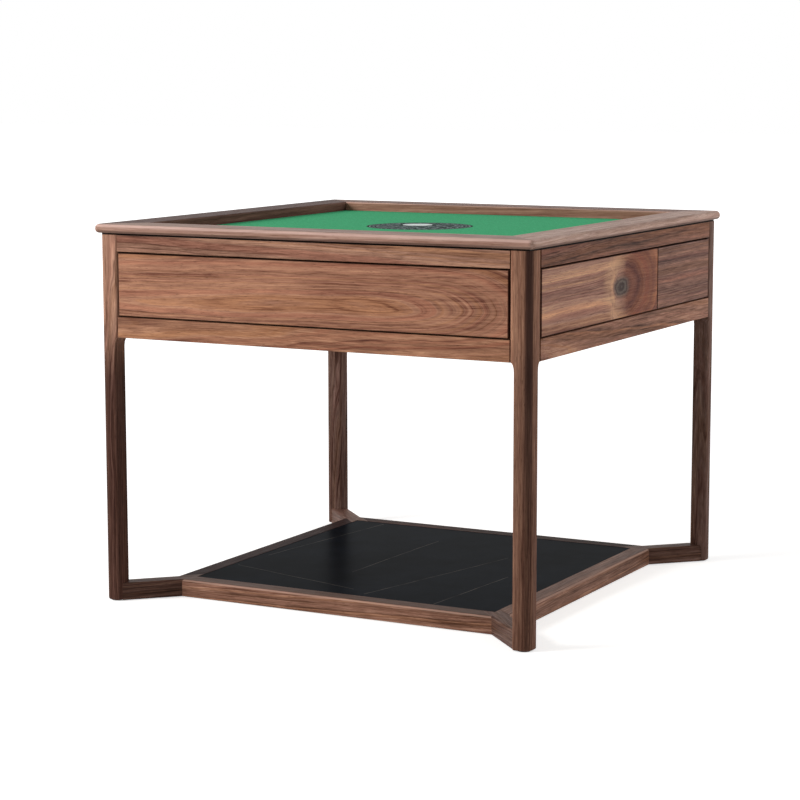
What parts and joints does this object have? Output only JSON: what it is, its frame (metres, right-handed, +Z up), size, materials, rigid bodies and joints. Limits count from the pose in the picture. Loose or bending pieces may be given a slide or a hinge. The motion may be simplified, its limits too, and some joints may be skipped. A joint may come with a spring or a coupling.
{
  "type": "mahjong table with drawers",
  "caption": "Square walnut mahjong table: felt playing field sunk in a mitred rim, flush drawers all round, slim posts and a low shelf with a stone slab.",
  "frame": {"origin": "on the floor under the centre of the top", "axes": "+Z up, +Y from the front to the back, +X to the right seen from the front"},
  "size_m": [0.958, 0.958, 0.76],
  "materials": {
    "walnut_legs": "oiled solid walnut, upright grain",
    "walnut_rim": "oiled solid walnut, satin",
    "walnut_rails": "oiled solid walnut, satin",
    "walnut_fronts": "oiled solid walnut, lively level grain",
    "walnut_shelf": "oiled solid walnut, satin",
    "pale_wood": "planed rubberwood, clear lacquer",
    "plywood": "birch plywood, clear lacquer",
    "green_felt": "green wool felt",
    "black_stone": "honed black sintered stone with hairline veins",
    "nylon": "moulded black nylon"
  },
  "bodies": {
    "root": {"bottom_rail_back": "walnut_rails", "bottom_rail_front": "walnut_rails", "bottom_rail_left": "walnut_rails", "bottom_rail_right": "walnut_rails", "divider_left": "pale_wood", "divider_right": "pale_wood", "felt": "green_felt", "leg_back_left": "walnut_legs", "leg_back_right": "walnut_legs", "leg_front_left": "walnut_legs", "leg_front_right": "walnut_legs", "leg_glides": "nylon", "partition_left": "pale_wood", "partition_right": "pale_wood", "play_board": "plywood", "rim_back": "walnut_rim", "rim_front": "walnut_rim", "rim_left": "walnut_rim", "rim_right": "walnut_rim", "runners_centre": "pale_wood", "runners_left": "pale_wood", "runners_right": "pale_wood", "shelf_arm_back_left": "walnut_shelf", "shelf_arm_back_right": "walnut_shelf", "shelf_arm_front_left": "walnut_shelf", "shelf_arm_front_right": "walnut_shelf", "shelf_battens": "pale_wood", "shelf_rail_back": "walnut_shelf", "shelf_rail_front": "walnut_shelf", "shelf_rail_left": "walnut_shelf", "shelf_rail_right": "walnut_shelf", "stone_slab": "black_stone", "top_rail_back": "walnut_rails", "top_rail_front": "walnut_rails", "top_rail_left": "walnut_rails", "top_rail_right": "walnut_rails"},
    "drawer_front": {"drawer_front_back": "pale_wood", "drawer_front_bottom": "plywood", "drawer_front_face": "walnut_fronts", "drawer_front_sides": "pale_wood"},
    "drawer_back": {"drawer_back_back": "pale_wood", "drawer_back_bottom": "plywood", "drawer_back_face": "walnut_fronts", "drawer_back_sides": "pale_wood"},
    "drawer_right_wide": {"drawer_right_wide_back": "pale_wood", "drawer_right_wide_bottom": "plywood", "drawer_right_wide_face": "walnut_fronts", "drawer_right_wide_sides": "pale_wood"},
    "drawer_right_narrow": {"drawer_right_narrow_back": "pale_wood", "drawer_right_narrow_bottom": "plywood", "drawer_right_narrow_face": "walnut_fronts", "drawer_right_narrow_sides": "pale_wood"},
    "drawer_left_wide": {"drawer_left_wide_back": "pale_wood", "drawer_left_wide_bottom": "plywood", "drawer_left_wide_face": "walnut_fronts", "drawer_left_wide_sides": "pale_wood"},
    "drawer_left_narrow": {"drawer_left_narrow_back": "pale_wood", "drawer_left_narrow_bottom": "plywood", "drawer_left_narrow_face": "walnut_fronts", "drawer_left_narrow_sides": "pale_wood"}
  },
  "joints": [
    {"name": "drawer_front_slide", "type": "slide", "parent": "root", "child": "drawer_front", "axis": [0, -1, 0], "range_m": [0, 0.3]},
    {"name": "drawer_back_slide", "type": "slide", "parent": "root", "child": "drawer_back", "axis": [0, 1, 0], "range_m": [0, 0.3]},
    {"name": "drawer_right_wide_slide", "type": "slide", "parent": "root", "child": "drawer_right_wide", "axis": [1, 0, 0], "range_m": [0, 0.15]},
    {"name": "drawer_right_narrow_slide", "type": "slide", "parent": "root", "child": "drawer_right_narrow", "axis": [1, 0, 0], "range_m": [0, 0.15]},
    {"name": "drawer_left_wide_slide", "type": "slide", "parent": "root", "child": "drawer_left_wide", "axis": [-1, 0, 0], "range_m": [0, 0.15]},
    {"name": "drawer_left_narrow_slide", "type": "slide", "parent": "root", "child": "drawer_left_narrow", "axis": [-1, 0, 0], "range_m": [0, 0.15]}
  ]
}
